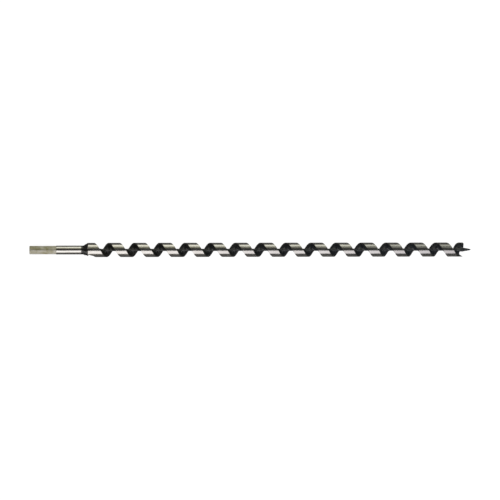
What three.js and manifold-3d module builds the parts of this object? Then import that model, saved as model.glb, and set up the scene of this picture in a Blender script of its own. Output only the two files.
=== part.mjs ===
// A long single-flute auger bit for wood, with a hexagonal shank.
// The bit lies along X with its lead screw at +X and rests on its lands, so z = 0 is the lowest
// line of the lands. It is forged, turned and ground from one bar, so it is one solid.
// Stations along the bit are X values, and angles round it turn from +Y towards +Z.

import * as THREE from 'three';
import { mergeVertices } from 'three/addons/utils/BufferGeometryUtils.js';
import Module from 'manifold-3d';

// Driving dimensions, in millimetres and degrees.
const overallLength = 590;
const bodyDiameter = 19;
const facetCount = 24;

const hexAcrossFlats = 11.1;
const hexAcrossCorners = 12.4;
const hexLength = 35.2;
const hexEndChamfer = 0.8;

const roundDiameter = 11.8;
const roundLength = 33.2;
const collarLength = 2.5;
const coneLength = 6.1;

const pitch = 33.7;
const flutePhaseAtFront = 143.8;
const fluteHalfWidth = 103.6;
const fluteSteepness = 7.6;
const coreRadius = 1.5;
const floorSegments = 5;
const stepsPerTurn = 14;
const runOutLength = 17.5;
const runOutSlope = 0.273;
const runOutRadius = 6.15;
const runOutStart = 2.7;
const runOutWidth = 0.4;
const runOutWidening = 7.8;
const lobeLength = 16;
const lobeSwell = 24;
const fluteClearance = 3;

const lipSetback = 0.45;
const bossRadius = 2.7;
const bossLength = 4;
const bossTaper = 8;
const lipAngle = flutePhaseAtFront - fluteHalfWidth;
const lipRelief = 4;

const notchDepth = 5.3;
const notchTop = -2.7;
const notchBottom = -6.8;
const notchCorner = 1.2;

const spurReach = 6.8;
const spurTipSetback = 0.9;
const spurRoot = 4.5;
const spurHalfWidth = 2.6;

const screwLength = 10;
const screwRootRadius = 2.25;
const screwThreadHeight = 0.45;
const screwTipScale = 0.08;
const screwFullness = 0.6;
const screwPitch = 2;
const screwSides = 12;
const screwStepsPerTurn = 10;

const steelColour = 0x8d8b84;
const steelRoughness = 0.35;
const steelMetalness = 1;

// Stations and radii worked out from them.
const bodyRadius = bodyDiameter / 2;
const shankEnd = -overallLength / 2;
const hexEnd = shankEnd + hexLength;
const roundEnd = hexEnd + roundLength;
const collarEnd = roundEnd + collarLength;
const coneEnd = collarEnd + coneLength;
const frontFace = overallLength / 2 - screwLength;
const fullDepthStation = coneEnd + runOutLength;
const joinOverlap = 0.5;

const wasm = await Module();
wasm.setup();

const radians = THREE.MathUtils.degToRad;

// Turns a section drawn in its own XY plane and extruded along Z to lie along the bit.
const alongBit = new THREE.Matrix4().makeBasis(
  new THREE.Vector3(0, 1, 0),
  new THREE.Vector3(0, 0, 1),
  new THREE.Vector3(1, 0, 0),
);

// A closed geometry as a solid that can be joined and cut.
function toSolid(geometry) {
  const bare = geometry.clone();
  bare.deleteAttribute('normal');
  bare.deleteAttribute('uv');
  const merged = mergeVertices(bare, 1e-4);
  const corners = [];
  for (let i = 0; i < merged.index.count; i += 3) {
    const [a, b, c] = [0, 1, 2].map((k) => merged.index.getX(i + k));
    if (a !== b && b !== c && c !== a) corners.push(a, b, c);
  }
  const mesh = new wasm.Mesh({
    numProp: 3,
    vertProperties: new Float32Array(merged.attributes.position.array),
    triVerts: new Uint32Array(corners),
  });
  return new wasm.Manifold(mesh);
}

// A solid back as a geometry with flat faces.
function toGeometry(solid) {
  const { vertProperties, triVerts } = solid.getMesh();
  const geometry = new THREE.BufferGeometry();
  geometry.setAttribute('position', new THREE.BufferAttribute(vertProperties, 3));
  geometry.setIndex(new THREE.BufferAttribute(triVerts, 1));
  const flat = geometry.toNonIndexed();
  flat.computeVertexNormals();
  return flat;
}

// A turned form: [radius, station] points from the shank's end forwards, first and last on the
// axis. Its facets touch the true circle, and one of them faces straight down.
function turned(points) {
  const facetScale = 1 / Math.cos(Math.PI / facetCount);
  const profile = points.map(([radius, station]) => new THREE.Vector2(radius * facetScale, station));
  const geometry = new THREE.LatheGeometry(profile, facetCount, Math.PI / facetCount);
  geometry.rotateZ(-Math.PI / 2);
  return toSolid(geometry);
}

// Hexagonal drive end: two flats face +Y and -Y, its corners are eased and its end is chamfered.
function hexShank() {
  const cornerRadius = hexAcrossFlats / 2 / Math.cos(Math.PI / 6);
  const corners = [];
  for (let i = 0; i < 6; i += 1) {
    const angle = radians(30 + 60 * i);
    corners.push(new THREE.Vector2(Math.cos(angle), Math.sin(angle)).multiplyScalar(cornerRadius));
  }
  const length = hexLength + joinOverlap;
  const prism = new THREE.ExtrudeGeometry(new THREE.Shape(corners), { depth: length, bevelEnabled: false });
  prism.applyMatrix4(alongBit).translate(shankEnd, 0, 0);
  const easedRadius = hexAcrossCorners / 2;
  const eased = turned([
    [0, shankEnd],
    [easedRadius - hexEndChamfer, shankEnd],
    [easedRadius, shankEnd + hexEndChamfer],
    [easedRadius, shankEnd + length],
    [0, shankEnd + length],
  ]);
  return toSolid(prism).intersect(eased);
}

// Round shank, forged collar and cone, and the full bar up to the cutting face.
function turnedBar() {
  const roundRadius = roundDiameter / 2;
  return turned([
    [0, hexEnd],
    [roundRadius, hexEnd],
    [roundRadius, collarEnd],
    [bodyRadius, coneEnd],
    [bodyRadius, frontFace],
    [0, frontFace],
  ]);
}

// Radius of the flute's floor: it rises towards the cone and ends there in a 45 degree wall.
function floorRadius(station) {
  const rising = coreRadius + Math.max(0, fullDepthStation - station) * runOutSlope;
  const endWall = Math.max(0, coneEnd - runOutStart - station);
  return Math.min(rising, runOutRadius) + endWall;
}

// Distance of the flute's surface from the axis, where share runs from 0 at the middle of the
// floor to 1 at the edge of the land.
function fluteRadius(share, station) {
  const floor = floorRadius(station);
  return floor + (bodyRadius - floor) * Math.abs(share) ** fluteSteepness;
}

// Section that the flute takes out of the bar at full depth: the floor and both walls, closed by
// a wide arc outside the bar. Its +X points to the middle of the flute.
function fluteSection() {
  const outerRadius = bodyRadius + fluteClearance;
  const wallSlope = fluteSteepness * (bodyRadius - coreRadius);
  const mouthAngle = radians(fluteHalfWidth) * (1 + fluteClearance / wallSlope);
  const shape = new THREE.Shape();
  shape.absarc(0, 0, outerRadius, -mouthAngle, mouthAngle, false);
  for (let i = floorSegments; i >= -floorSegments; i -= 1) {
    const share = Math.sign(i) * (1 - (1 - Math.abs(i) / floorSegments) ** 2);
    const angle = share * radians(fluteHalfWidth);
    const radius = fluteRadius(share, frontFace);
    shape.lineTo(radius * Math.cos(angle), radius * Math.sin(angle));
  }
  shape.closePath();
  return shape;
}

// Angle of the flute's middle at a station: right-hand twist, one turn for each pitch, and
// straight along the bit in the cone.
function fluteAngle(station) {
  const twisted = Math.max(station, coneEnd) - frontFace;
  return radians(flutePhaseAtFront) + (twisted / pitch) * 2 * Math.PI;
}

// Share of its full width that the flute has at a station on one side, -1 or 1: it is narrow at
// the cone, and just behind the lip the land swells into a lobe on side -1.
function fluteWidth(station, side) {
  const open = THREE.MathUtils.clamp((station - coneEnd) / runOutWidening, 0, 1);
  const width = THREE.MathUtils.lerp(runOutWidth, 1, open);
  if (side > 0) return width;
  const along = THREE.MathUtils.clamp((frontFace - station) / lobeLength, 0, 1);
  return width - (lobeSwell / fluteHalfWidth) * Math.sin(Math.PI * along) ** 2;
}

// The flute: its section twisted along the bit. It rises out of the bar at the cone.
function flute() {
  const start = collarEnd;
  const length = frontFace + joinOverlap - start;
  const steps = Math.round((length / pitch) * stepsPerTurn);
  const geometry = new THREE.ExtrudeGeometry(fluteSection(), {
    depth: length,
    steps,
    curveSegments: 5,
    bevelEnabled: false,
  });
  const points = geometry.attributes.position;
  for (let i = 0; i < points.count; i += 1) {
    const station = start + points.getZ(i);
    let radius = Math.hypot(points.getX(i), points.getY(i));
    let angle = Math.atan2(points.getY(i), points.getX(i));
    if (radius < bodyRadius + fluteClearance / 2) {
      radius = fluteRadius(angle / radians(fluteHalfWidth), station);
    }
    angle = angle * fluteWidth(station, Math.sign(angle)) + fluteAngle(station);
    points.setXYZ(i, station, radius * Math.cos(angle), radius * Math.sin(angle));
  }
  return toSolid(geometry);
}

// Boss that carries the lead screw, blended back into the core.
function boss() {
  return turned([
    [0, frontFace - bossLength - bossTaper],
    [coreRadius * 0.6, frontFace - bossLength - bossTaper],
    [bossRadius, frontFace - bossLength],
    [bossRadius, frontFace],
    [0, frontFace],
  ]);
}

// Tapered lead screw: an off-round section twisted into a thread and drawn in to a full point.
function leadScrew() {
  const outline = [];
  for (let i = 0; i < screwSides; i += 1) {
    const angle = (2 * Math.PI * i) / screwSides;
    const radius = screwRootRadius + screwThreadHeight * (0.5 + 0.5 * Math.cos(angle));
    outline.push(new THREE.Vector2(radius * Math.cos(angle), radius * Math.sin(angle)));
  }
  const length = screwLength + joinOverlap;
  const steps = Math.round((length / screwPitch) * screwStepsPerTurn);
  const geometry = new THREE.ExtrudeGeometry(new THREE.Shape(outline), {
    depth: length,
    steps,
    bevelEnabled: false,
  });
  const points = geometry.attributes.position;
  for (let i = 0; i < points.count; i += 1) {
    const reach = points.getZ(i);
    const left = 1 - reach / length;
    const taper = screwTipScale + (1 - screwTipScale) * left ** screwFullness;
    const across = new THREE.Vector2(points.getX(i), points.getY(i)).multiplyScalar(taper);
    across.rotateAround(new THREE.Vector2(), (reach / screwPitch) * 2 * Math.PI);
    points.setXYZ(i, frontFace - joinOverlap + reach, across.x, across.y);
  }
  return toSolid(geometry);
}

// An outline drawn in the bit's XY plane and carried through the bit along Z.
function throughZ(shape, halfWidth) {
  const geometry = new THREE.ExtrudeGeometry(shape, { depth: 2 * halfWidth, bevelEnabled: false });
  geometry.translate(0, 0, -halfWidth);
  return toSolid(geometry);
}

// Gullet between the cutting lip and the spur, milled straight across the head.
function notch() {
  const back = frontFace - notchDepth;
  const ahead = frontFace + joinOverlap;
  const shape = new THREE.Shape();
  shape.moveTo(ahead, notchTop);
  shape.lineTo(back + notchCorner, notchTop);
  shape.lineTo(back + notchCorner * 0.3, notchTop - notchCorner * 0.3);
  shape.lineTo(back, notchTop - notchCorner);
  shape.lineTo(back, notchBottom);
  shape.lineTo(frontFace - spurTipSetback, -bodyRadius);
  shape.lineTo(ahead, -bodyRadius - joinOverlap);
  shape.closePath();
  return throughZ(shape, bodyDiameter);
}

// Scoring spur: a wedge of the bar's outer wall that runs forward from the end of the land.
function spur() {
  const tip = frontFace - spurTipSetback;
  const root = tip - spurReach - spurRoot;
  const shape = new THREE.Shape();
  shape.moveTo(root, notchBottom);
  shape.lineTo(root, -bodyRadius * 1.2);
  shape.lineTo(tip, -bodyRadius * 1.2);
  shape.lineTo(tip, -bodyRadius);
  shape.lineTo(frontFace - notchDepth, notchBottom);
  shape.closePath();
  const bar = turned([
    [0, root],
    [bodyRadius, root],
    [bodyRadius, frontFace],
    [0, frontFace],
  ]);
  return throughZ(shape, spurHalfWidth).intersect(bar);
}

// What the relief grind takes off the cutting face: it leaves the lip highest and falls away
// behind it.
function reliefGrind() {
  const geometry = new THREE.BoxGeometry(bodyDiameter, 2 * bodyDiameter, 2 * bodyDiameter);
  geometry.translate(bodyDiameter / 2, 0, 0);
  geometry.rotateY(radians(lipRelief));
  geometry.rotateX(radians(lipAngle));
  geometry.translate(frontFace - lipSetback, 0, 0);
  return toSolid(geometry);
}

function augerBit() {
  const twist = turnedBar().subtract(flute());
  const head = twist.subtract(reliefGrind()).subtract(notch()).add(spur());
  const solid = head.add(hexShank()).add(boss()).add(leadScrew());
  const material = new THREE.MeshStandardMaterial({
    color: steelColour,
    roughness: steelRoughness,
    metalness: steelMetalness,
  });
  const mesh = new THREE.Mesh(toGeometry(solid), material);
  mesh.name = 'auger_bit';
  mesh.position.z = bodyRadius;
  return mesh;
}

const part = new THREE.Group();
part.add(augerBit());

export default part;
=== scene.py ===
import math

import bmesh
import bpy
from mathutils import Matrix, Vector


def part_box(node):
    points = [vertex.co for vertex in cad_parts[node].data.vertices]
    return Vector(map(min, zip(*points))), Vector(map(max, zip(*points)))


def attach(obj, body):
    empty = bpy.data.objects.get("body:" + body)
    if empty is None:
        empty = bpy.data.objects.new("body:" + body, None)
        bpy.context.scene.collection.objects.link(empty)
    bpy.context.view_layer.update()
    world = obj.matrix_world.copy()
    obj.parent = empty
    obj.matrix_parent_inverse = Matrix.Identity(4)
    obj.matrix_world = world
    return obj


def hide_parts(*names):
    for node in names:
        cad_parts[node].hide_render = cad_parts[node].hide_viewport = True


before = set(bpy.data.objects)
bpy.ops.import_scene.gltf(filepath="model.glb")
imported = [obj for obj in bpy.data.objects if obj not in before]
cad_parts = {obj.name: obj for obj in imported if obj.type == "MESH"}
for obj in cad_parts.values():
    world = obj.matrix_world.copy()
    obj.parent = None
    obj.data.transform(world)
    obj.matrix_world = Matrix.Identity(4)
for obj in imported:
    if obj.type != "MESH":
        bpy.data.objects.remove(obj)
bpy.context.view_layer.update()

# The frame gives the bit's ends, its radius and the height of its axis; the rest follows from them.
mm = 0.001
cadNode = "auger_bit"
lowCorner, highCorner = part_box(cadNode)
shankEnd = lowCorner[0]
tipEnd = highCorner[0]
bodyRadius = (highCorner[1] - lowCorner[1]) / 2
axisHeight = lowCorner[2] + bodyRadius
scene = bpy.context.scene

# Lengths along the bit, from the hexagon to the point.
lengths = {
    "hex": 35.2 * mm,
    "round": 33.2 * mm,
    "collar": 2.5 * mm,
    "cone": 6.1 * mm,
    "screw": 10.0 * mm,
}
hexEnd = shankEnd + lengths["hex"]
roundEnd = hexEnd + lengths["round"]
collarEnd = roundEnd + lengths["collar"]
coneEnd = collarEnd + lengths["cone"]
frontFace = tipEnd - lengths["screw"]


view = {
    "distance": 2.4026,  # from the lens to the bit's axis
    "lens": 129.55,
    "aim": Vector((-0.0024, -0.00026, axisHeight)),
    "swing": math.radians(3.6),  # towards the shank, off the square view from above
    "roll": math.radians(0.074),
}


def addCamera():
    data = bpy.data.cameras.new("studioCamera")
    data.lens = view["lens"]
    data.sensor_width = 36
    data.clip_start, data.clip_end = 0.05, 20
    camera = bpy.data.objects.new("studioCamera", data)
    scene.collection.objects.link(camera)
    back = Vector((-math.sin(view["swing"]), 0, math.cos(view["swing"])))
    right = Vector((math.cos(view["swing"]), 0, math.sin(view["swing"])))
    up = back.cross(right)
    turnedRight = right * math.cos(view["roll"]) - up * math.sin(view["roll"])
    turnedUp = up * math.cos(view["roll"]) + right * math.sin(view["roll"])
    place = view["aim"] + back * view["distance"]
    camera.matrix_world = Matrix(
        (
            (turnedRight.x, turnedUp.x, back.x, place.x),
            (turnedRight.y, turnedUp.y, back.y, place.y),
            (turnedRight.z, turnedUp.z, back.z, place.z),
            (0, 0, 0, 1),
        )
    )
    scene.camera = camera


addCamera()
print("camera placed")


def newPiece(name, bm):
    mesh = bpy.data.meshes.new(name)
    bmesh.ops.recalc_face_normals(bm, faces=bm.faces)
    bm.to_mesh(mesh)
    bm.free()
    piece = bpy.data.objects.new(name, mesh)
    scene.collection.objects.link(piece)
    return piece


def onBit(station, radius, angle):
    # angle runs from +Y towards +Z
    return Vector((station, radius * math.cos(angle), axisHeight + radius * math.sin(angle)))


def angleOf(point):
    return math.atan2(point.z - axisHeight, point.y)


def ringsToMesh(rings):
    # rings of equal length, each a list of points round the bit
    bm = bmesh.new()
    rows = [[bm.verts.new(p) for p in ring] for ring in rings]
    count = len(rings[0])
    for near, far in zip(rows, rows[1:]):
        for k in range(count):
            n = (k + 1) % count
            bm.faces.new((near[k], near[n], far[n], far[k]))
    for row in (rows[0], rows[-1]):
        middle = bm.verts.new(sum((v.co for v in row), Vector()) / count)
        for k in range(count):
            bm.faces.new((row[k], row[(k + 1) % count], middle))
    return bm


def lathe(name, profile, sides):
    rings = []
    for station, radius in profile:
        rings.append([onBit(station, radius, 2 * math.pi * k / sides) for k in range(sides)])
    return newPiece(name, ringsToMesh(rings))


def boolean(piece, tool, operation):
    step = piece.modifiers.new(tool.name, "BOOLEAN")
    step.object = tool
    step.operation = operation
    step.solver = "MANIFOLD"
    graph = bpy.context.evaluated_depsgraph_get()
    shaped = bpy.data.meshes.new_from_object(piece.evaluated_get(graph), depsgraph=graph)
    piece.modifiers.clear()
    piece.data = shaped
    bpy.data.objects.remove(tool)


def smoothByAngle(piece, degrees):
    piece.data.shade_smooth()
    piece.data.set_sharp_from_angle(angle=math.radians(degrees))


def clamp(value, low=0, high=1):
    return max(low, min(high, value))


hexBar = {
    "acrossFlats": 11.1 * mm,
    "acrossCorners": 12.4 * mm,
    "endChamfer": 0.8 * mm,
    "sides": 240,
    "rows": 60,
    "chamferRows": 8,
    "sharpAngle": 14,
}


def hexRadius(angle):
    # flats face +Y and -Y
    fold = (angle + math.pi / 6) % (math.pi / 3) - math.pi / 6
    flat = hexBar["acrossFlats"] / 2 / math.cos(fold)
    return min(flat, hexBar["acrossCorners"] / 2)


def makeHex():
    chamfer = hexBar["endChamfer"]
    corner = hexBar["acrossCorners"] / 2
    steps = hexBar["chamferRows"]
    stations = [shankEnd + chamfer * k / steps for k in range(steps + 1)]
    stations += [
        shankEnd + chamfer + (lengths["hex"] - chamfer) * k / hexBar["rows"]
        for k in range(1, hexBar["rows"] + 1)
    ]
    rings = []
    for station in stations:
        turnedTo = corner - max(0, chamfer - (station - shankEnd))
        ring = []
        for k in range(hexBar["sides"]):
            angle = 2 * math.pi * k / hexBar["sides"]
            ring.append(onBit(station, min(hexRadius(angle), turnedTo), angle))
        rings.append(ring)
    piece = newPiece("hexShank", ringsToMesh(rings))
    smoothByAngle(piece, hexBar["sharpAngle"])
    return piece


roundBar = {
    "radius": 5.9 * mm,
    "edge": 0.18 * mm,
    "sides": 192,
    "rows": 40,
    "sharpAngle": 30,
}


def makeRound():
    radius, edge = roundBar["radius"], roundBar["edge"]
    profile = [(hexEnd, radius - edge), (hexEnd + edge, radius)]
    span = roundEnd - hexEnd - 2 * edge
    for k in range(1, roundBar["rows"]):
        profile.append((hexEnd + edge + span * k / roundBar["rows"], radius))
    profile += [(roundEnd - edge, radius), (roundEnd, radius - edge)]
    piece = lathe("roundShank", profile, roundBar["sides"])
    smoothByAngle(piece, roundBar["sharpAngle"])
    return piece


twist = {
    "pitch": 33.7 * mm,
    "phaseAtFront": math.radians(143.8),
    "halfWidth": math.radians(103.6),
    "steepness": 7.6,
    "core": 1.5 * mm,
    "fullDepthAt": 17.5 * mm,  # ahead of the cone, as are the other run-out lengths
    "runOutSlope": 0.273,
    "runOutRadius": 6.15 * mm,
    "runOutStart": -2.7 * mm,
    "runOutWidth": 0.4,
    "runOutWidening": 7.8 * mm,
    "lobeLength": 16 * mm,
    "lobeSwell": math.radians(24),
    "edge": 0.14 * mm,
    "rowsPerTurn": 60,
    "collarRows": 6,
    "coneRows": 14,
    "floorSteps": 20,
    "floorCrowding": 1.8,  # above 1, the steps crowd towards the land's edges
    "landSteps": 22,
    "headLength": 14 * mm,
    "sharpAngle": 32,
}
rowLength = twist["pitch"] / twist["rowsPerTurn"]
bodyRows = math.floor((frontFace - twist["headLength"] - coneEnd) / rowLength)
headStart = coneEnd + bodyRows * rowLength


def twistAngle(station):
    along = max(station, coneEnd) - frontFace
    return twist["phaseAtFront"] + 2 * math.pi * along / twist["pitch"]


def fluteWidth(station, side):
    # share of the flute's full width: narrow at the cone, and narrower where the lobe swells
    width = twist["runOutWidth"]
    width += (1 - width) * clamp((station - coneEnd) / twist["runOutWidening"])
    if side > 0:
        return width
    along = clamp((frontFace - station) / twist["lobeLength"])
    return width - twist["lobeSwell"] / twist["halfWidth"] * math.sin(math.pi * along) ** 2


def floorRadius(station):
    ahead = station - coneEnd
    rising = twist["core"] + max(0, twist["fullDepthAt"] - ahead) * twist["runOutSlope"]
    return min(rising, twist["runOutRadius"]) + max(0, twist["runOutStart"] - ahead)


def blankRadius(station):
    return roundBar["radius"] + (bodyRadius - roundBar["radius"]) * clamp(
        (station - collarEnd) / (coneEnd - collarEnd)
    )


def twistRing(station, blank):
    turn = twistAngle(station)
    floor = floorRadius(station)
    edge = twist["edge"]
    dip = edge * clamp((blank - floor) / mm)  # no eased edge where the flute misses the blank
    steps = twist["floorSteps"]
    ring = []
    for k in range(-steps, steps + 1):
        share = math.copysign(1 - (1 - abs(k) / steps) ** twist["floorCrowding"], k)
        angle = share * twist["halfWidth"] * fluteWidth(station, share)
        radius = floor + (bodyRadius - floor) * abs(share) ** twist["steepness"]
        limit = blank - dip if abs(k) == steps else blank
        ring.append(onBit(station, min(radius, limit), angle + turn))
    start = twist["halfWidth"] * fluteWidth(station, 1) + edge / bodyRadius
    end = 2 * math.pi - twist["halfWidth"] * fluteWidth(station, -1) - edge / bodyRadius
    for k in range(twist["landSteps"] + 1):
        angle = start + (end - start) * k / twist["landSteps"]
        ring.append(onBit(station, blank, angle + turn))
    return ring


def makeBody():
    edge = roundBar["edge"]
    rings = [twistRing(roundEnd, roundBar["radius"] - edge)]
    collarRows, coneRows = twist["collarRows"], twist["coneRows"]
    for k in range(collarRows + 1):
        station = roundEnd + edge + (lengths["collar"] - edge) * k / collarRows
        rings.append(twistRing(station, blankRadius(station)))
    for k in range(1, coneRows + 1):
        station = collarEnd + lengths["cone"] * k / coneRows
        rings.append(twistRing(station, blankRadius(station)))
    for k in range(1, bodyRows + 1):
        rings.append(twistRing(coneEnd + rowLength * k, bodyRadius))
    piece = newPiece("twistedBody", ringsToMesh(rings))
    smoothByAngle(piece, twist["sharpAngle"])
    return piece


head = {
    "lipSetback": 0.45 * mm,
    "bossRadius": 2.7 * mm,
    "bossLength": 4 * mm,
    "bossTaper": 8 * mm,
    "relief": math.radians(4),
    "notchDepth": 5.3 * mm,
    "notchTop": -2.7 * mm,
    "notchBottom": -6.8 * mm,
    "notchCorner": 1.2 * mm,
    "notchFootRound": 0.6,  # share of the corner's radius
    "spurSetback": 0.9 * mm,
    "spurRoot": 11.3 * mm,
    "spurHalfWidth": 2.6 * mm,
    "spurNarrowing": 0.8,
    "spurTipThickness": 0.05 * mm,
    "spurRows": 24,
    "spurSteps": 12,
    "bossRoot": 0.6,  # share of the core's radius
    "bossEdge": 0.2 * mm,
    "bossSides": 96,
    "bossRows": 12,
    "rows": 50,
    "sharpAngle": 28,
}


def throughZ(name, outline, halfWidth):
    bm = bmesh.new()
    for z in (axisHeight - halfWidth, axisHeight + halfWidth):
        bm.faces.new([bm.verts.new((x, y, z)) for x, y in outline])
    bm.verts.ensure_lookup_table()
    count = len(outline)
    for k in range(count):
        n = (k + 1) % count
        bm.faces.new([bm.verts[v] for v in (k, n, n + count, k + count)])
    return newPiece(name, bm)


def arc(middle, radius, start, end, steps):
    points = []
    for k in range(steps + 1):
        angle = math.radians(start + (end - start) * k / steps)
        points.append((middle[0] + radius * math.cos(angle), middle[1] + radius * math.sin(angle)))
    return points


def makeNotch():
    back = frontFace - head["notchDepth"]
    ahead = frontFace + mm
    corner = head["notchCorner"]
    tip = (frontFace - head["spurSetback"], -bodyRadius)
    outline = [(ahead, head["notchTop"])]
    outline += arc((back + corner, head["notchTop"] - corner), corner, 90, 180, 8)
    foot = head["notchBottom"] + corner * head["notchFootRound"]
    outline += arc((back + corner, foot), corner, 180, 236, 6)
    outline += [tip, (ahead, -bodyRadius - mm)]
    return throughZ("notch", outline, 2 * bodyRadius)


def makeSpur():
    tip = frontFace - head["spurSetback"]
    root = tip - head["spurRoot"]
    inner = -head["notchBottom"]
    foot = frontFace - head["notchDepth"]
    rings = []
    rows, steps = head["spurRows"], head["spurSteps"]
    for k in range(rows + 1):
        station = root + (tip - root) * k / rows
        taper = max(0, (station - foot) / (tip - foot))
        low = inner + (bodyRadius - head["spurTipThickness"] - inner) * taper
        half = head["spurHalfWidth"] * (1 - head["spurNarrowing"] * taper) / bodyRadius
        ring = []
        for j in range(steps + 1):
            ring.append(onBit(station, bodyRadius, math.pi - half + 2 * half * j / steps))
        for j in range(steps + 1):
            ring.append(onBit(station, low, math.pi + half - 2 * half * j / steps))
        rings.append(ring)
    return newPiece("spur", ringsToMesh(rings))


def makeRelief():
    size = 2 * bodyRadius
    bm = bmesh.new()
    bmesh.ops.create_cube(bm, size=2 * size)
    lipAngle = twist["phaseAtFront"] - twist["halfWidth"]
    place = (
        Matrix.Translation((frontFace - head["lipSetback"], 0, axisHeight))
        @ Matrix.Rotation(lipAngle, 4, "X")
        @ Matrix.Rotation(head["relief"], 4, "Y")
        @ Matrix.Translation((size, 0, 0))
    )
    bm.transform(place)
    return newPiece("relief", bm)


def makeBoss():
    start = frontFace - head["bossLength"] - head["bossTaper"]
    thin = twist["core"] * head["bossRoot"]
    profile = [(start, thin)]
    for k in range(1, head["bossRows"] + 1):
        share = k / head["bossRows"]
        ease = share * share * (3 - 2 * share)
        radius = thin + (head["bossRadius"] - thin) * ease
        profile.append((start + head["bossTaper"] * share, radius))
    profile.append((frontFace - head["bossEdge"], head["bossRadius"]))
    profile.append((frontFace, head["bossRadius"] - head["bossEdge"]))
    return lathe("boss", profile, head["bossSides"])


def makeHead():
    rings = []
    for k in range(head["rows"] + 1):
        station = headStart + (frontFace - headStart) * k / head["rows"]
        rings.append(twistRing(station, bodyRadius))
    piece = newPiece("cuttingHead", ringsToMesh(rings))
    boolean(piece, makeRelief(), "DIFFERENCE")
    boolean(piece, makeNotch(), "DIFFERENCE")
    boolean(piece, makeSpur(), "UNION")
    boolean(piece, makeBoss(), "UNION")
    smoothByAngle(piece, head["sharpAngle"])
    return piece


screw = {
    "root": 2.25 * mm,
    "thread": 0.5 * mm,
    "pitch": 2.0 * mm,
    "threadWidth": 0.42,
    "tip": 0.08,
    "fullness": 0.6,
    "sides": 48,
    "rowsPerTurn": 36,
    "sharpAngle": 40,
}


def makeScrew():
    length = lengths["screw"]
    rows = math.ceil(length / screw["pitch"] * screw["rowsPerTurn"])
    rings = []
    for i in range(rows + 1):
        reach = length * i / rows
        taper = screw["tip"] + (1 - screw["tip"]) * (1 - reach / length) ** screw["fullness"]
        turn = 2 * math.pi * reach / screw["pitch"]
        ring = []
        for k in range(screw["sides"]):
            angle = 2 * math.pi * k / screw["sides"]
            away = abs((angle + math.pi) % (2 * math.pi) - math.pi) / math.pi
            crest = max(0, 1 - away / screw["threadWidth"])
            radius = (screw["root"] + screw["thread"] * crest) * taper
            ring.append(onBit(frontFace + reach, radius, angle + turn))
        rings.append(ring)
    piece = newPiece("leadScrew", ringsToMesh(rings))
    smoothByAngle(piece, screw["sharpAngle"])
    return piece


# Map for the bake: the rings unrolled into columns side by side, with the two ends as discs above
# them.
unrolling = {
    "gap": 0.01,
    "discShare": 0.42,
    "hexCaps": 0.3,  # share of the map's height that is kept for the ends
    "bodyCaps": 0.04,
    "otherCaps": 0.1,
    "bodyColumns": 3,
}


def unroll(piece, sides, columns, capShare):
    # for meshes made by ringsToMesh: their faces run ring by ring, and the ends come last
    mesh = piece.data
    places = mesh.uv_layers.new(name="OFBake").data
    rings = (len(mesh.vertices) - 2) // sides
    rows = math.ceil((rings - 1) / columns)
    gap = unrolling["gap"]
    typical = [mesh.vertices[rings // 2 * sides + k].co for k in range(sides)]
    around = [0]
    for k in range(sides):
        around.append(around[-1] + (typical[(k + 1) % sides] - typical[k]).length)
    for face in mesh.polygons:
        row, side = divmod(face.index, sides)
        for corner in face.loop_indices:
            vertex = mesh.loops[corner].vertex_index
            if row < rings - 1:
                ring, spot = divmod(vertex, sides)
                if side == sides - 1 and spot == 0:
                    spot = sides
                across = gap + (1 - 2 * gap) * around[spot] / around[-1]
                up = gap + (1 - 2 * gap) * (ring - row // rows * rows) / rows
                places[corner].uv = ((row // rows + across) / columns, up * (1 - capShare))
            else:
                far = row - rings + 1
                point = mesh.vertices[vertex].co
                disc = unrolling["discShare"] * capShare / bodyRadius
                flip = 1 if far else -1
                places[corner].uv = (
                    capShare * (0.5 + far) + flip * point.y * disc,
                    1 - capShare / 2 + (point.z - axisHeight) * disc,
                )


hexPiece = makeHex()
roundPiece = makeRound()
bodyPiece = makeBody()
headPiece = makeHead()
screwPiece = makeScrew()
bodySides = 2 * (twist["floorSteps"] + 1) + twist["landSteps"]
unroll(hexPiece, hexBar["sides"], 1, unrolling["hexCaps"])
unroll(roundPiece, roundBar["sides"], 1, unrolling["otherCaps"])
unroll(bodyPiece, bodySides, unrolling["bodyColumns"], unrolling["bodyCaps"])
unroll(screwPiece, screw["sides"], 1, unrolling["otherCaps"])
pieces = (hexPiece, roundPiece, bodyPiece, headPiece, screwPiece)
print("bit shaped:", {o.name: len(o.data.polygons) for o in pieces})


offTwist = -5  # far from any edge, for the collar and the cone


def markEdges(piece):
    # landEdge: millimetres from the nearest land edge, positive on the land
    mesh = piece.data
    marks = mesh.attributes.new("landEdge", "FLOAT", "POINT")
    for vertex in mesh.vertices:
        station = vertex.co.x
        away = (angleOf(vertex.co) - twistAngle(station) + math.pi) % (2 * math.pi) - math.pi
        width = twist["halfWidth"] * fluteWidth(station, away)
        onTwist = station > coneEnd - 0.1 * mm
        toEdge = (abs(away) - width) * bodyRadius / mm
        marks.data[vertex.index].value = toEdge if onTwist else offTwist


markEdges(bodyPiece)
markEdges(headPiece)


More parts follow.
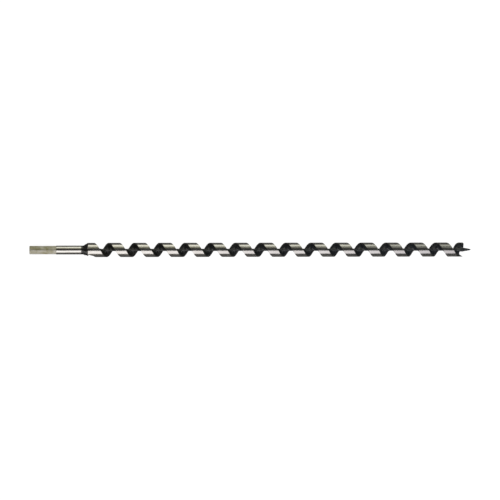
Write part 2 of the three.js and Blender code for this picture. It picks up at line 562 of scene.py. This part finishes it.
class Graph:
    def __init__(self, tree):
        self.tree = tree

    def node(self, kind, **settings):
        made = self.tree.nodes.new(kind)
        for name, value in settings.items():
            setattr(made, name, value)
        return made

    def link(self, source, target):
        self.tree.links.new(source, target)

    def math(self, operation, first, second=0.0):
        step = self.node("ShaderNodeMath", operation=operation)
        self.feed(step.inputs[0], first)
        self.feed(step.inputs[1], second)
        return step.outputs[0]

    def feed(self, target, source):
        if isinstance(source, (int, float)):
            target.default_value = source
        else:
            self.link(source, target)

    def noise(self, vector, scale, detail=3.0, roughness=0.5):
        made = self.node("ShaderNodeTexNoise")
        made.inputs["Scale"].default_value = scale
        made.inputs["Detail"].default_value = detail
        made.inputs["Roughness"].default_value = roughness
        self.link(vector, made.inputs["Vector"])
        return made.outputs["Fac"]

    def stretch(self, vector, scale):
        made = self.node("ShaderNodeMapping")
        made.inputs["Scale"].default_value = scale
        self.link(vector, made.inputs["Vector"])
        return made.outputs[0]

    def remap(self, value, low, high, toLow=0.0, toHigh=1.0):
        made = self.node("ShaderNodeMapRange")
        self.feed(made.inputs["From Min"], low)
        self.feed(made.inputs["From Max"], high)
        made.inputs["To Min"].default_value = toLow
        made.inputs["To Max"].default_value = toHigh
        self.link(value, made.inputs["Value"])
        return made.outputs["Result"]

    def ramp(self, value, stops):
        made = self.node("ShaderNodeValToRGB")
        elements = made.color_ramp.elements
        while len(elements) < len(stops):
            elements.new(0.5)
        for element, (place, colour) in zip(elements, stops):
            element.position = place
            element.color = (*colour, 1)
        self.link(value, made.inputs[0])
        return made.outputs["Color"]

    def blend(self, factor, first, second, how="MIX"):
        made = self.node("ShaderNodeMix", data_type="RGBA", blend_type=how)
        self.feed(made.inputs["Factor"], factor)
        self.link(first, made.inputs["A"])
        self.link(second, made.inputs["B"])
        return made.outputs["Result"]


noiseRange = (0.3, 0.7)  # the span that the noise textures mostly keep to


def newGroup(name, inputs, outputs):
    tree = bpy.data.node_groups.new(name, "ShaderNodeTree")
    for direction, sockets in (("INPUT", inputs), ("OUTPUT", outputs)):
        for label in sockets:
            tree.interface.new_socket(label, in_out=direction, socket_type="NodeSocketFloat")
    graph = Graph(tree)
    return graph, graph.node("NodeGroupInput").outputs, graph.node("NodeGroupOutput").inputs


def millimetres(graph, fineness):
    place = graph.node("ShaderNodeTexCoord").outputs["Object"]
    sized = graph.node("ShaderNodeVectorMath", operation="SCALE")
    graph.link(graph.stretch(place, (1 / mm, 1 / mm, 1 / mm)), sized.inputs[0])
    graph.link(fineness, sized.inputs["Scale"])
    return sized.outputs[0]


def makeRoundGrind():
    # fine lines left round the bit by cylindrical grinding, broken into short strokes
    graph, given, out = newGroup("roundGrind", ("Fineness",), ("Lines", "Smears"))
    place = millimetres(graph, given["Fineness"])
    fine = graph.noise(graph.stretch(place, (9, 0.35, 0.35)), 1.0, 4.0, 0.65)
    coarse = graph.noise(graph.stretch(place, (2.2, 0.12, 0.12)), 1.0, 2.0, 0.5)
    mostly = graph.math("MULTIPLY", fine, 0.7)
    graph.link(graph.math("ADD", mostly, graph.math("MULTIPLY", coarse, 0.3)), out["Lines"])
    smears = graph.noise(graph.stretch(place, (0.09, 0.22, 0.22)), 1.0, 3.0, 0.6)
    graph.link(smears, out["Smears"])
    return graph.tree


def makeScale():
    # forging scale: fine pits and broad clouds, and how far along the bit a point is
    graph, given, out = newGroup("forgingScale", ("Fineness",), ("Pits", "Clouds", "Towards Head"))
    place = millimetres(graph, given["Fineness"])
    graph.link(graph.noise(place, 2.6, 5.0, 0.62), out["Pits"])
    graph.link(graph.noise(place, 0.28, 3.0, 0.55), out["Clouds"])
    along = graph.node("ShaderNodeSeparateXYZ")
    graph.link(graph.node("ShaderNodeTexCoord").outputs["Object"], along.inputs[0])
    graph.link(graph.remap(along.outputs["X"], shankEnd, tipEnd), out["Towards Head"])
    return graph.tree


def makeCrossBrush():
    # scratches across the flats, with patches of stain
    graph, given, out = newGroup("crossBrush", ("Fineness",), ("Scratches", "Stain"))
    place = millimetres(graph, given["Fineness"])
    scratches = graph.noise(graph.stretch(place, (6, 0.25, 0.25)), 1.0, 4.0, 0.65)
    graph.link(scratches, out["Scratches"])
    stain = graph.noise(graph.stretch(place, (0.12, 0.2, 0.2)), 1.0, 4.0, 0.62)
    graph.link(stain, out["Stain"])
    return graph.tree


def makeEdgeWear():
    # a ragged band along the land's edges; Worn rises from 0 at Start to 1 at End, in millimetres
    graph, given, out = newGroup(
        "edgeWear", ("Edge Distance", "Noise", "Raggedness", "Start", "End"), ("Ragged", "Worn")
    )
    shift = graph.remap(given["Noise"], *noiseRange, -1.0, 1.0)
    swing = graph.math("MULTIPLY", shift, given["Raggedness"])
    ragged = graph.math("ADD", given["Edge Distance"], swing)
    graph.link(ragged, out["Ragged"])
    graph.link(graph.remap(ragged, given["Start"], given["End"]), out["Worn"])
    return graph.tree


groups = {
    "grind": makeRoundGrind(),
    "scale": makeScale(),
    "brush": makeCrossBrush(),
    "wear": makeEdgeWear(),
}


# Materials. Each colour list runs over the noise values beside it, and the other pairs are the
# values at the low and high end of the noise.

groundLook = {
    "colours": (
        (0.3, (0.54, 0.52, 0.49)),
        (0.55, (0.62, 0.605, 0.58)),
        (0.75, (0.66, 0.65, 0.635)),
    ),
    "burntColours": ((0.0, (0.13, 0.115, 0.1)), (1.0, (0.6, 0.585, 0.56))),
    "burntBand": (0.0, 0.75),  # mm from the land's edge, as is the wear
    "wear": {"Raggedness": 0.25, "Start": 0.1, "End": 0.8},
    "landRoughness": (0.16, 0.24),
    "shankRoughness": (0.12, 0.19),
    "lineRoughness": (-0.06, 0.06),
    "bump": (0.45, 0.014),  # strength, and height in mm
    "fineness": 1.0,  # above 1, the pattern is finer
}

satinLook = {
    "colours": (
        (0.33, (0.32, 0.3, 0.185)),
        (0.5, (0.43, 0.41, 0.33)),
        (0.7, (0.5, 0.485, 0.44)),
    ),
    "scratchShade": ((0.3, (0.86, 0.86, 0.86)), (0.7, (1, 1, 1))),
    "stainRoughness": (0.4, 0.32),
    "scratchRoughness": (-0.06, 0.06),
    "bump": (0.6, 0.02),
    "fineness": 1.0,
}

oxideLook = {
    # the two colour lists below are painted light: darker and browner at the shank, lighter and
    # bluer towards the head, standing for light from the screw end; the clouds within each list are
    # the oxide's own mottling
    "shankShadedColours": (
        (0.3, (0.006, 0.006, 0.006)),
        (0.52, (0.013, 0.013, 0.011)),
        (0.72, (0.035, 0.034, 0.028)),
    ),
    "headLitColours": (
        (0.3, (0.014, 0.015, 0.024)),
        (0.52, (0.028, 0.034, 0.042)),
        (0.72, (0.06, 0.07, 0.068)),
    ),
    "changeover": (0.2, 0.8),  # shares of the bit's length over which the painted shade at the shank gives way to the painted light at the head
    "rubbedColours": ((0.3, (0.2, 0.18, 0.16)), (0.7, (0.3, 0.28, 0.26))),
    "wear": {"Raggedness": 0.35, "Start": -0.55, "End": 0.15},
    "brightPits": (0.62, 0.75),
    "brightPitMetal": 0.25,
    "specular": 0.8,
    "roughness": (0.2, 0.36),
    "bump": (0.5, 0.06),
    "fineness": 1.0,
}

lipLook = {
    "colours": ((0.3, (0.2, 0.18, 0.17)), (0.7, (0.3, 0.28, 0.27))),
    "roughness": (0.28, 0.42),
    "bump": (0.4, 0.015),
    "fineness": 1.0,
}


def placeGroup(graph, groupName, **values):
    effect = graph.node("ShaderNodeGroup")
    effect.node_tree = groups[groupName]
    for label, value in values.items():
        graph.feed(effect.inputs[label], value)
    return effect.outputs


def startMaterial(name, groupName, look):
    material = bpy.data.materials.new(name)
    material.use_nodes = True
    graph = Graph(material.node_tree)
    shader = material.node_tree.nodes["Principled BSDF"]
    return material, graph, shader, placeGroup(graph, groupName, Fineness=look["fineness"])


def wornEdge(graph, noise, wear):
    distance = graph.node("ShaderNodeAttribute", attribute_name="landEdge").outputs["Fac"]
    return placeGroup(graph, "wear", **{"Edge Distance": distance, "Noise": noise}, **wear)


def addBump(graph, shader, height, bump):
    strength, distance = bump
    step = graph.node("ShaderNodeBump")
    step.inputs["Strength"].default_value = strength
    step.inputs["Distance"].default_value = distance * mm
    graph.link(height, step.inputs["Height"])
    graph.link(step.outputs["Normal"], shader.inputs["Normal"])


def groundSteel(name, edged):
    look = groundLook
    material, graph, shader, effect = startMaterial(name, "grind", look)
    shader.inputs["Metallic"].default_value = 1
    colour = graph.ramp(effect["Smears"], look["colours"])
    if edged:
        edge = wornEdge(graph, effect["Lines"], look["wear"])
        burnt = graph.ramp(graph.remap(edge["Ragged"], *look["burntBand"]), look["burntColours"])
        colour = graph.blend(edge["Worn"], burnt, colour)
    graph.link(colour, shader.inputs["Base Color"])
    lines = graph.remap(effect["Lines"], *noiseRange, *look["lineRoughness"])
    level = look["landRoughness"] if edged else look["shankRoughness"]
    smears = graph.remap(effect["Smears"], *noiseRange, *level)
    graph.link(graph.math("ADD", lines, smears), shader.inputs["Roughness"])
    addBump(graph, shader, effect["Lines"], look["bump"])
    return material


def satinSteel():
    look = satinLook
    material, graph, shader, effect = startMaterial("satinSteel", "brush", look)
    shader.inputs["Metallic"].default_value = 1
    colour = graph.ramp(effect["Stain"], look["colours"])
    shade = graph.ramp(effect["Scratches"], look["scratchShade"])
    graph.link(graph.blend(1, colour, shade, "MULTIPLY"), shader.inputs["Base Color"])
    scratches = graph.remap(effect["Scratches"], *noiseRange, *look["scratchRoughness"])
    stain = graph.remap(effect["Stain"], *noiseRange, *look["stainRoughness"])
    graph.link(graph.math("ADD", scratches, stain), shader.inputs["Roughness"])
    addBump(graph, shader, effect["Scratches"], look["bump"])
    return material


def blackOxide(name, edged):
    look = oxideLook
    material, graph, shader, effect = startMaterial(name, "scale", look)
    # painted light along the bit: the oxide turns from the darker shank colours to the lighter,
    # bluer head colours
    colour = graph.blend(
        graph.remap(effect["Towards Head"], *look["changeover"]),
        graph.ramp(effect["Clouds"], look["shankShadedColours"]),
        graph.ramp(effect["Clouds"], look["headLitColours"]),
    )
    metal = graph.remap(effect["Pits"], *look["brightPits"], 0.0, look["brightPitMetal"])
    if edged:
        rubbed = wornEdge(graph, effect["Pits"], look["wear"])["Worn"]
        steel = graph.ramp(effect["Clouds"], look["rubbedColours"])
        colour = graph.blend(rubbed, colour, steel)
        metal = graph.math("MAXIMUM", metal, rubbed)
    graph.link(colour, shader.inputs["Base Color"])
    graph.link(metal, shader.inputs["Metallic"])
    shader.inputs["Specular IOR Level"].default_value = look["specular"]
    roughness = graph.remap(effect["Pits"], *noiseRange, *look["roughness"])
    graph.link(roughness, shader.inputs["Roughness"])
    addBump(graph, shader, effect["Pits"], look["bump"])
    return material


def groundLip():
    look = lipLook
    material, graph, shader, effect = startMaterial("groundLip", "grind", look)
    shader.inputs["Metallic"].default_value = 1
    graph.link(graph.ramp(effect["Smears"], look["colours"]), shader.inputs["Base Color"])
    roughness = graph.remap(effect["Lines"], *noiseRange, *look["roughness"])
    graph.link(roughness, shader.inputs["Roughness"])
    addBump(graph, shader, effect["Lines"], look["bump"])
    return material


finishes = {
    "black": blackOxide("blackOxide", True),
    "land": groundSteel("groundLand", True),
    "plainBlack": blackOxide("blackScrew", False),
    "round": groundSteel("groundShank", False),
    "satin": satinSteel(),
    "lip": groundLip(),
}


faceTests = {
    "landDepth": 0.06 * mm,
    "landFacing": 0.9,
    "cutMargin": 0.3 * mm,
    "cutFacing": 0.85,
}


def finishTwist(piece):
    mesh = piece.data
    mesh.materials.clear()
    slots = ("black", "land", "lip")
    for key in slots:
        mesh.materials.append(finishes[key])
    for face in mesh.polygons:
        middle = face.center
        away = Vector((0, middle.y, middle.z - axisHeight))
        outward = face.normal.dot(away.normalized())
        atRim = away.length > bodyRadius - faceTests["landDepth"]
        onLand = atRim and outward > faceTests["landFacing"]
        ahead = middle.x > frontFace - head["notchDepth"] - faceTests["cutMargin"]
        cutFace = ahead and face.normal.x > faceTests["cutFacing"]
        finish = "black"
        if onLand and middle.x > coneEnd:
            finish = "land"
        elif cutFace and away.length > head["bossRadius"]:
            finish = "lip"
        face.material_index = slots.index(finish)


hexPiece.data.materials.append(finishes["satin"])
roundPiece.data.materials.append(finishes["round"])
screwPiece.data.materials.append(finishes["plainBlack"])
finishTwist(bodyPiece)
finishTwist(headPiece)

for piece in pieces:
    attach(piece, "root")
    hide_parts(cadNode)
print("finishes on")


floorLook = {"grey": 0.25, "roughness": 0.9, "glowSeen": 0.97, "glowMirrored": 0.02, "halfWidth": 12}


def addFloor():
    bm = bmesh.new()
    bmesh.ops.create_grid(bm, x_segments=1, y_segments=1, size=floorLook["halfWidth"])
    floor = newPiece("floor", bm)
    material = bpy.data.materials.new("paleFloor")
    material.use_nodes = True
    shader = material.node_tree.nodes["Principled BSDF"]
    shader.inputs["Base Color"].default_value = (*[floorLook["grey"]] * 3, 1)
    shader.inputs["Roughness"].default_value = floorLook["roughness"]
    shader.inputs["Specular IOR Level"].default_value = 0
    shader.inputs["Emission Color"].default_value = (1, 1, 1, 1)
    # the steel mirrors a floor dimmer than the one the camera sees
    rays = material.node_tree.nodes.new("ShaderNodeLightPath")
    glow = material.node_tree.nodes.new("ShaderNodeMapRange")
    glow.inputs["To Min"].default_value = floorLook["glowMirrored"]
    glow.inputs["To Max"].default_value = floorLook["glowSeen"]
    material.node_tree.links.new(rays.outputs["Is Camera Ray"], glow.inputs["Value"])
    material.node_tree.links.new(glow.outputs["Result"], shader.inputs["Emission Strength"])
    floor.data.materials.append(material)
    floor.visible_diffuse = False


# Rows of softboxes over the bit. tilt and spread are angles round the bit's axis, towards -Y; glow
# and colours run from the shank to the screw.
softboxes = {
    "bright": {
        "tilt": 40,
        "spread": 51,
        "glow": (1.75, 1.48, 1.2, 1.0),
        "colours": ((1, 0.98, 0.94), (0.97, 0.94, 1)),
    },
    "warm": {
        "tilt": 74,
        "spread": 20,
        "glow": (0.32, 0.15, 0.08, 0.05),
        "colours": ((1, 0.87, 0.65), (0.9, 0.88, 1)),
    },
    "high": {
        "tilt": -76,
        "spread": 40,
        "glow": (1.0, 1.3, 1.05, 0.48),
        "colours": ((1, 0.985, 0.83), (0.97, 1, 0.88)),
    },
    "low": {
        "tilt": -41,
        "spread": 22,
        "glow": (0.34, 0.3, 0.24, 0.18),
        "colours": ((1, 0.96, 0.62), (0.97, 1, 0.85)),
    },
}
boxLength = 0.36
boxDistance = 1.6


def addSoftboxes(name, row):
    wide = 2 * boxDistance * math.tan(math.radians(row["spread"] / 2))
    tilt = math.radians(row["tilt"])
    back = Vector((0, -math.sin(tilt), math.cos(tilt)))
    for k, glow in enumerate(row["glow"]):
        data = bpy.data.lights.new(f"{name}{k}", "AREA")
        data.shape = "RECTANGLE"
        data.size, data.size_y = boxLength, wide
        data.energy = glow * math.pi * boxLength * wide
        share = k / (len(row["glow"]) - 1)
        data.color = [a + (b - a) * share for a, b in zip(*row["colours"])]
        light = bpy.data.objects.new(data.name, data)
        middle = boxLength * (k - (len(row["glow"]) - 1) / 2)
        light.location = Vector((middle, 0, axisHeight)) + back * boxDistance
        light.rotation_euler = back.to_track_quat("Z", "Y").to_euler()
        light.visible_camera = False
        scene.collection.objects.link(light)


# Square softboxes beyond the bit's ends, which reach the cone and the walls of the flute.
endboxes = {
    "screwHigh": {"towards": (0.68, 0.5, 0.54), "size": 1.0, "glow": 1.3, "colour": (0.93, 1, 0.95)},
    "screwLow": {"towards": (0.68, -0.5, 0.54), "size": 1.0, "glow": 0.6, "colour": (0.9, 0.95, 1)},
    "shankHigh": {"towards": (-0.68, 0.5, 0.54), "size": 1.0, "glow": 0.6, "colour": (1, 0.97, 0.9)},
    "shankLow": {"towards": (-0.8, -0.5, 0.28), "size": 0.9, "glow": 1.5, "colour": (1, 0.98, 0.95)},
}
endboxDistance = 2.2


def addEndbox(name, box):
    back = Vector(box["towards"]).normalized()
    data = bpy.data.lights.new(name, "AREA")
    data.size = box["size"]
    data.energy = box["glow"] * math.pi * box["size"] ** 2
    data.color = box["colour"]
    light = bpy.data.objects.new(name, data)
    light.location = Vector((0, 0, axisHeight)) + back * endboxDistance
    light.rotation_euler = back.to_track_quat("Z", "Y").to_euler()
    light.visible_camera = False
    scene.collection.objects.link(light)


worldGlow = {"seen": 1, "mirrored": 0.05}


def addWorld():
    world = bpy.data.worlds.new("studio")
    world.use_nodes = True
    tree = world.node_tree
    dim = tree.nodes["Background"]
    dim.inputs["Color"].default_value = (1, 1, 1, 1)
    dim.inputs["Strength"].default_value = worldGlow["mirrored"]
    pale = tree.nodes.new("ShaderNodeBackground")
    pale.inputs["Color"].default_value = (1, 1, 1, 1)
    pale.inputs["Strength"].default_value = worldGlow["seen"]
    rays = tree.nodes.new("ShaderNodeLightPath")
    mix = tree.nodes.new("ShaderNodeMixShader")
    tree.links.new(rays.outputs["Is Camera Ray"], mix.inputs["Fac"])
    tree.links.new(dim.outputs[0], mix.inputs[1])
    tree.links.new(pale.outputs[0], mix.inputs[2])
    tree.links.new(mix.outputs[0], tree.nodes["World Output"].inputs["Surface"])
    scene.world = world


addFloor()
for rowName, rowPlan in softboxes.items():
    addSoftboxes(rowName, rowPlan)
for boxName, boxPlan in endboxes.items():
    addEndbox(boxName, boxPlan)
addWorld()
scene.view_settings.view_transform = "Standard"
print("floor and light in place")
